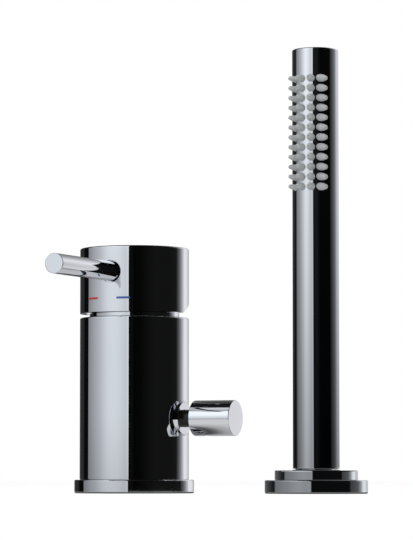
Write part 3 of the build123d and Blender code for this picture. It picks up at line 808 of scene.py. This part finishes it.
def shares(start: float, end: float, strengths: tuple[Stop, ...]) -> tuple[Stop, ...]:
    """Turns strengths at angles into stops from 0 to 1.

    Args:
        start: The first angle, in degrees.
        end: The last angle.
        strengths: Pairs (angle, strength).

    Returns:
        Pairs (share of the way, strength).
    """
    return tuple(((angle - start) / (end - start), strength) for angle, strength in strengths)


@dataclass(frozen=True)
class StudioPanel:
    """A reflector or flag of the studio, as a glowing card that lights nothing and only shows in gloss, by
    degrees round and above the mixer: a painted reflection for the chrome.
    """

    name: str
    from_azimuth: float
    to_azimuth: float
    from_elevation: float
    to_elevation: float
    round_stops: tuple[Stop, ...]
    up_stops: tuple[Stop, ...] = ((0.0, 1.0),)
    tint: Colour = WHITE
    radius: float = 1.9
    columns: int = 48
    rows: int = 24

    def spot(self, across: float, upward: float) -> Vector:
        """Gives a point of the card.

        Args:
            across: Share of its width.
            upward: Share of its height.

        Returns:
            The point.
        """
        azimuth = radians(self.from_azimuth + (self.to_azimuth - self.from_azimuth) * across)
        elevation = radians(self.from_elevation + (self.to_elevation - self.from_elevation) * upward)
        flat = self.radius * cos(elevation)
        return Vector((flat * sin(azimuth), -flat * cos(azimuth), self.radius * sin(elevation)))

    def surface(self) -> Form:
        """Builds the curved card with one map across it.

        Returns:
            Its mesh.
        """
        form = Form(self.name)
        layer = form.mesh.loops.layers.uv.new("span")
        grid = [
            [form.mesh.verts.new(self.spot(across / self.columns, upward / self.rows))
             for upward in range(self.rows + 1)]
            for across in range(self.columns + 1)
        ]
        for left in range(self.columns):
            for low in range(self.rows):
                corners = ((left, low), (left + 1, low), (left + 1, low + 1), (left, low + 1))
                face = form.mesh.faces.new([grid[across][upward] for across, upward in corners])
                for loop, (across, upward) in zip(face.loops, corners):
                    loop[layer].uv = (across / self.columns, upward / self.rows)
        return form

    def material(self) -> bpy.types.Material:
        """Makes the card's own glow, stronger or weaker across it and up it: painted reflection bands.

        Returns:
            The material.
        """
        made, writer = bare_material(self.name)
        share = writer.apart(writer.add("ShaderNodeUVMap", uv_map="span").outputs["UV"])
        across = writer.ramp(share["X"], self.round_stops)
        upward = writer.ramp(share["Y"], self.up_stops)
        end_material(writer, writer.glow(writer.maths("MULTIPLY", across, upward), self.tint))
        return made

    def build(self) -> None:
        """Puts the card in the studio, hidden from all but gloss."""
        only_in_gloss(self.surface().placed(self.material()))
        LOG.info("%s spans %.0f to %.0f degrees", self.name, self.from_azimuth, self.to_azimuth)


@dataclass(frozen=True)
class TableDisc:
    """The small grey table that the chrome mirrors, a glowing disc with painted shadow: darker round the two
    feet and towards the back.
    """

    name: str = "mirrored_table"
    centre_x: float = 30.0 * MM
    reach: float = 250.0 * MM
    drop: float = 0.4 * MM
    feet: tuple[Point, ...] = ((0.0, 31.0 * MM), (HAND_SHOWER_X, 26.0 * MM))
    painted_shadow_stops: tuple[Stop, ...] = ((0.0, 0.12), (0.12, 0.26), (0.3, 0.62), (0.6, 0.86), (1.0, 1.0))
    painted_shadow_reach: float = 30.0 * MM
    front_y: float = -30.0 * MM
    back_y: float = 90.0 * MM
    front_glow: float = 0.74
    shadowed_back_glow: float = 0.42

    def build(self) -> None:
        """Lays the disc just under the feet, hidden from all but gloss."""
        form = Form(self.name)
        centre = Vector((self.centre_x, 0.0, -self.drop))
        form.lathe(((0.0, 0.0), (0.0, self.reach)), centre, Vector(Axis.UP.value), STUDIO_STEPS)
        only_in_gloss(form.placed(self.material()))
        LOG.info("%s reaches %.2f m", self.name, self.reach)

    def material(self) -> bpy.types.Material:
        """Makes the glow of the table, with painted shadow from its bright front to its darker back.

        Returns:
            The material.
        """
        made, writer = bare_material(self.name)
        place = writer.add("ShaderNodeTexCoord").outputs["Object"]
        backwards = writer.apart(place)["Y"]
        # painted shadow: the glow falls from the front of the table to its back
        strength = writer.span(backwards, self.front_y, self.back_y, self.front_glow, self.shadowed_back_glow)
        # painted contact shadow: the glow darkens round each foot
        for foot_x, foot_r in self.feet:
            away = writer.add("ShaderNodeVectorMath", operation="DISTANCE")
            writer.join(place, away.inputs[0])
            away.inputs[1].default_value = (foot_x, 0.0, -self.drop)
            near = writer.span(away.outputs["Value"], foot_r, foot_r + self.painted_shadow_reach, 0.0, 1.0)
            strength = writer.maths("MULTIPLY", strength, writer.ramp(near, self.painted_shadow_stops))
        end_material(writer, writer.glow(strength))
        return made


@dataclass(frozen=True)
class UprightSleeve:
    """A glowing sleeve round an upright round piece, which only that piece mirrors, from inside: painted
    reflection bands for its chrome.
    """

    name: str
    sleeve_r: float
    foot: float
    top: float
    near: float  # rays longer than this pass through
    round_strengths: tuple[Stop, ...]
    up_stops: tuple[Stop, ...] = ((0.0, 1.0),)
    stops_foot: float = 12.0 * MM
    stops_top: float = 222.0 * MM
    tint: Colour = (0.93, 0.96, 1.0)

    def build(self) -> None:
        """Stands the sleeve round the hand shower's axis, hidden from all but gloss."""
        form = Form(self.name)
        profile = ((self.foot, self.sleeve_r), (self.top, self.sleeve_r))
        form.lathe(profile, Vector(), Vector(Axis.UP.value), STUDIO_STEPS)
        sleeve = form.placed(self.material())
        sleeve.data.shade_smooth()
        sleeve.location = (HAND_SHOWER_X, 0.0, 0.0)
        only_in_gloss(sleeve)
        LOG.info("%s stands %.0f mm from the axis", self.name, self.sleeve_r / MM)

    def material(self) -> bpy.types.Material:
        """Makes the painted reflection glow of its inner side for what is near; all other rays pass through.

        Returns:
            The material.
        """
        made, writer = bare_material(self.name)
        spot = writer.apart(writer.add("ShaderNodeTexCoord").outputs["Object"])
        azimuth = writer.maths("ARCTAN2", spot["X"], writer.maths("MULTIPLY", spot["Y"], -1.0))
        across = writer.span(azimuth, -pi, pi, 0.0, 1.0)
        upward = writer.span(spot["Z"], self.stops_foot, self.stops_top, 0.0, 1.0)
        round_strength = writer.ramp(across, shares(-180.0, 180.0, self.round_strengths))
        strength = writer.maths("MULTIPLY", round_strength, writer.ramp(upward, self.up_stops))
        inside = writer.add("ShaderNodeNewGeometry").outputs["Backfacing"]
        close = writer.maths("LESS_THAN", writer.add("ShaderNodeLightPath").outputs["Ray Length"], self.near)
        clear = writer.add("ShaderNodeBsdfTransparent").outputs["BSDF"]
        shown = writer.mix(writer.maths("MULTIPLY", inside, close), clear, writer.glow(strength, self.tint))
        end_material(writer, shown)
        return made


# painted reflection: bands of light and dark that only the hand shower's tube mirrors
TUBE_REFLECTION_SLEEVE = UprightSleeve(
    name="tube_reflection_sleeve", sleeve_r=24.0 * MM, foot=13.0 * MM, top=420.0 * MM, near=36.0 * MM,
    round_strengths=(
        (-180.0, 0.5), (-128.0, 0.5), (-125.5, 0.12), (-102.0, 0.05), (-76.0, 0.014), (-68.0, 0.006),
        (-62.5, 0.12), (-56.0, 0.29), (-49.5, 0.33), (-38.5, 0.45), (-28.5, 0.62), (-20.0, 0.83),
        (-11.5, 0.90), (-4.0, 0.80), (5.5, 0.63), (9.5, 0.69), (13.2, 0.68), (13.6, 0.006), (25.0, 0.012),
        (32.5, 0.006), (40.0, 0.002), (81.0, 0.002), (86.0, 0.03), (96.5, 0.08), (109.0, 0.16), (116.0, 0.30),
        (124.5, 0.58), (135.0, 0.62), (150.0, 0.6), (180.0, 0.5)),
    up_stops=((0.0, 0.52), (0.23, 0.72), (0.52, 0.98), (0.8, 1.12), (1.0, 1.25)))

# painted reflection: bands of light and dark that only the holder's tiers mirror
TIER_REFLECTION_SLEEVE = UprightSleeve(
    name="tier_reflection_sleeve", sleeve_r=42.0 * MM, foot=0.3 * MM, top=12.9 * MM, near=38.0 * MM,
    round_strengths=(
        (-180.0, 0.6), (-118.0, 0.6), (-115.0, 0.2), (-90.0, 0.1), (-72.0, 0.045), (-60.0, 0.014),
        (-54.5, 0.014), (-52.0, 0.20), (-43.0, 0.225), (-36.0, 0.25), (-24.0, 0.285), (-13.0, 0.34),
        (-3.0, 0.365), (6.0, 0.33), (14.6, 0.35), (15.0, 0.004), (79.0, 0.005), (82.0, 0.06), (92.0, 0.085),
        (100.0, 0.115), (109.0, 0.36), (118.0, 0.9), (124.0, 1.0), (137.0, 0.65), (180.0, 0.6)))


@dataclass(frozen=True)
class Softbox:
    """A soft lamp that points at the set and isn't mirrored."""

    name: str
    place: tuple[float, float, float]
    width: float
    watts: float
    target: tuple[float, float, float] = (0.05, 0.0, 0.1)

    def build(self) -> None:
        """Hangs the lamp."""
        data = bpy.data.lights.new(self.name, "AREA")
        data.size = self.width
        data.energy = self.watts
        lamp = bpy.data.objects.new(self.name, data)
        bpy.context.scene.collection.objects.link(lamp)
        lamp.location = self.place
        lamp.rotation_euler = (Vector(self.target) - Vector(self.place)).to_track_quat("-Z", "Y").to_euler()
        lamp.visible_glossy = False
        LOG.info("%s at %.0f W", self.name, self.watts)


SOFTBOXES = (
    Softbox("key_softbox", place=(-0.9, -1.1, 1.1), width=1.1, watts=9.0),
    Softbox("fill_softbox", place=(1.2, -0.9, 0.9), width=1.2, watts=4.0),
    Softbox("top_softbox", place=(0.1, 0.2, 1.6), width=1.2, watts=6.0),
)


@dataclass
class Studio:
    """White room, pale floor, soft lamps and the glowing cards that only the chrome mirrors, as painted
    reflections.
    """

    floor_reach: float = 6.0
    floor_cells: int = 8
    floor_white: float = 0.90
    floor_glow: float = 1.045
    paper: Colour = (0.86, 0.86, 0.86)
    paper_grain: float = 0.2
    paper_rough: tuple[float, float] = (0.85, 0.95)
    paper_relief: float = 0.05
    paper_specular: float = 0.1
    room_light: float = 0.40
    cool: Colour = (0.91, 0.945, 0.99)
    lilac: Colour = (0.97, 0.97, 1.0)
    foot: float = -35.0  # elevation where the standing cards begin
    head: float = 62.0  # elevation where they end
    ceiling_glow: float = 0.012
    under_glow: float = 0.03

    def card(self, name: str, start: float, end: float, round_strengths: tuple[Stop, ...],
             up_strengths: tuple[Stop, ...], tint: Colour = WHITE) -> StudioPanel:
        """Gives one standing card.

        Args:
            name: Name of the card.
            start: Its first azimuth.
            end: Its last azimuth.
            round_strengths: Pairs (azimuth, strength) round it.
            up_strengths: Pairs (elevation, factor) up it.
            tint: Colour of its glow.

        Returns:
            The card.
        """
        return StudioPanel(name, start, end, self.foot, self.head, shares(start, end, round_strengths),
                           shares(self.foot, self.head, up_strengths), tint)

    def cards(self) -> tuple[StudioPanel, ...]:
        """Lists the painted reflection cards, from behind on the left round to behind on the right, and the
        two lids.

        Returns:
            The cards and lids.
        """
        return (
            # painted reflections: the cards light nothing, and their glow sets the chrome's bands of light
            # and dark
            self.card(
                "left_flag", -155.0, -87.0,
                round_strengths=(
                    (-155.0, 0.12), (-140.0, 0.10), (-127.0, 0.035), (-119.0, 0.02), (-113.0, 0.04),
                    (-107.0, 0.012), (-100.0, 0.003), (-87.0, 0.004)),
                up_strengths=((-35.0, 1.0), (20.0, 1.0), (30.0, 1.8), (45.0, 0.8), (62.0, 0.6))),
            self.card(
                "left_softbox_reflection", -87.0, 14.4,
                round_strengths=(
                    (-87.0, 0.28), (-80.0, 0.35), (-71.0, 0.43), (-62.0, 0.51), (-53.0, 0.58), (-45.0, 0.69),
                    (-38.0, 0.78), (-30.0, 0.86), (-20.0, 0.89), (-10.0, 0.87), (-3.0, 0.83), (4.0, 0.78),
                    (8.0, 0.735), (11.0, 0.80), (14.4, 0.84)),
                up_strengths=(
                    (-35.0, 0.5), (-6.0, 0.6), (0.0, 0.8), (2.4, 1.0), (8.0, 1.04), (12.0, 1.2), (17.0, 1.38),
                    (36.0, 1.5), (40.5, 1.1), (44.0, 0.55), (47.0, 0.5), (50.0, 0.85), (54.0, 1.1),
                    (58.0, 1.2), (60.5, 0.6), (62.0, 0.1)),
                tint=self.cool),
            self.card(
                "right_flag", 14.4, 126.0,
                round_strengths=(
                    (14.4, 0.001), (17.0, 0.002), (19.0, 0.005), (22.0, 0.005), (25.0, 0.0015),
                    (40.0, 0.0025), (60.0, 0.006), (70.0, 0.0075), (105.0, 0.0075), (126.0, 0.011)),
                up_strengths=((-35.0, 1.0), (62.0, 1.0))),
            self.card(
                "back_sweep", 126.0, 205.0,
                round_strengths=(
                    (126.0, 0.014), (130.0, 0.061), (133.5, 0.104), (137.5, 0.176), (141.5, 0.276),
                    (145.5, 0.416), (149.5, 0.60), (153.0, 0.82), (156.0, 0.92), (161.0, 0.96), (167.0, 0.94),
                    (174.0, 0.86), (184.0, 0.62), (205.0, 0.12)),
                up_strengths=(
                    (-35.0, 0.7), (-20.0, 0.8), (-9.0, 0.95), (0.0, 1.0), (25.0, 1.0), (35.0, 0.5),
                    (62.0, 0.15)),
                tint=self.lilac),
            StudioPanel("ceiling", -180.0, 180.0, self.head, 90.0, ((0.0, self.ceiling_glow),)),
            StudioPanel("under_table", -180.0, 180.0, -90.0, self.foot, ((0.0, self.under_glow),)),
        )

    def build(self) -> None:
        """Builds the whole studio."""
        self.floor()
        self.world()
        TableDisc().build()
        for mirrored in (TUBE_REFLECTION_SLEEVE, TIER_REFLECTION_SLEEVE, *self.cards()):
            mirrored.build()
        for softbox in SOFTBOXES:
            softbox.build()

    def paper_material(self) -> bpy.types.Material:
        """Makes the floor's paper, which mostly glows white where it is seen and is plain paper to light.

        Returns:
            The material.
        """
        made = bpy.data.materials.new("floor_paper")
        made.use_nodes = True
        writer = NodeWriter(made.node_tree)
        GROUPS.apply(writer, Pattern.MOULDED, self.paper_grain, self.paper_rough, self.paper_relief)
        shader = made.node_tree.nodes["Principled BSDF"]
        shader.inputs["Base Color"].default_value = (*self.paper, 1.0)
        shader.inputs["Specular IOR Level"].default_value = self.paper_specular
        white = writer.maths("MULTIPLY", writer.seen_directly(), self.floor_white)
        shown = writer.mix(white, shader.outputs["BSDF"], writer.glow(self.floor_glow))
        writer.join(shown, made.node_tree.nodes["Material Output"].inputs["Surface"])
        return made

    def floor(self) -> None:
        """Lays the pale floor, which keeps the shadow of the set and isn't mirrored."""
        form = Form("studio_floor")
        bmesh.ops.create_grid(
            form.mesh, x_segments=self.floor_cells, y_segments=self.floor_cells, size=self.floor_reach)
        floor = form.placed(self.paper_material())
        floor.visible_glossy = False

    def world(self) -> None:
        """Lights the room softly and shows it white."""
        world = bpy.data.worlds.new("white_room")
        bpy.context.scene.world = world
        world.use_nodes = True
        writer = NodeWriter(world.node_tree)
        back = world.node_tree.nodes["Background"]
        back.inputs["Color"].default_value = (*WHITE, 1.0)
        strength = writer.span(writer.seen_directly(), 0.0, 1.0, self.room_light, 1.0)
        writer.join(strength, back.inputs["Strength"])


@dataclass
class PhotoCamera:
    """The camera of the photograph: low over the deck, tilted up a little."""

    azimuth: float = 25.0
    distance: float = 1.5
    height: float = 8.0 * MM
    aside: float = 37.5 * MM
    tilt: float = 4.12
    lens: float = 192.33
    sensor: float = 36.0
    clip_start: float = 0.05

    def build(self) -> None:
        """Places the camera and makes it the scene's own."""
        turn = radians(self.azimuth)
        right = Vector((cos(turn), sin(turn), 0.0))
        back = Vector((sin(turn), -cos(turn), 0.0))
        data = bpy.data.cameras.new("photo_camera")
        data.lens = self.lens
        data.sensor_width = self.sensor
        data.sensor_fit = "AUTO"
        data.clip_start = self.clip_start
        data.dof.use_dof = False
        camera = bpy.data.objects.new("photo_camera", data)
        bpy.context.scene.collection.objects.link(camera)
        camera.location = right * self.aside + back * self.distance + Vector((0.0, 0.0, self.height))
        camera.rotation_euler = (radians(90.0 + self.tilt), 0.0, turn)
        bpy.context.scene.camera = camera


def main() -> None:
    """Builds the set in order."""
    logging.basicConfig(level=logging.INFO, format="%(message)s")
    bpy.context.scene.view_settings.view_transform = "Standard"
    PhotoCamera().build()
    Studio().build()
    FrameDress(SHOWN_FINISHES).dress()
    SprayNozzles().build()
    DiverterRosette().build()
    for label in UNMIRRORED:
        bpy.data.objects[label].visible_glossy = False


if __name__ == "__main__":
    main()
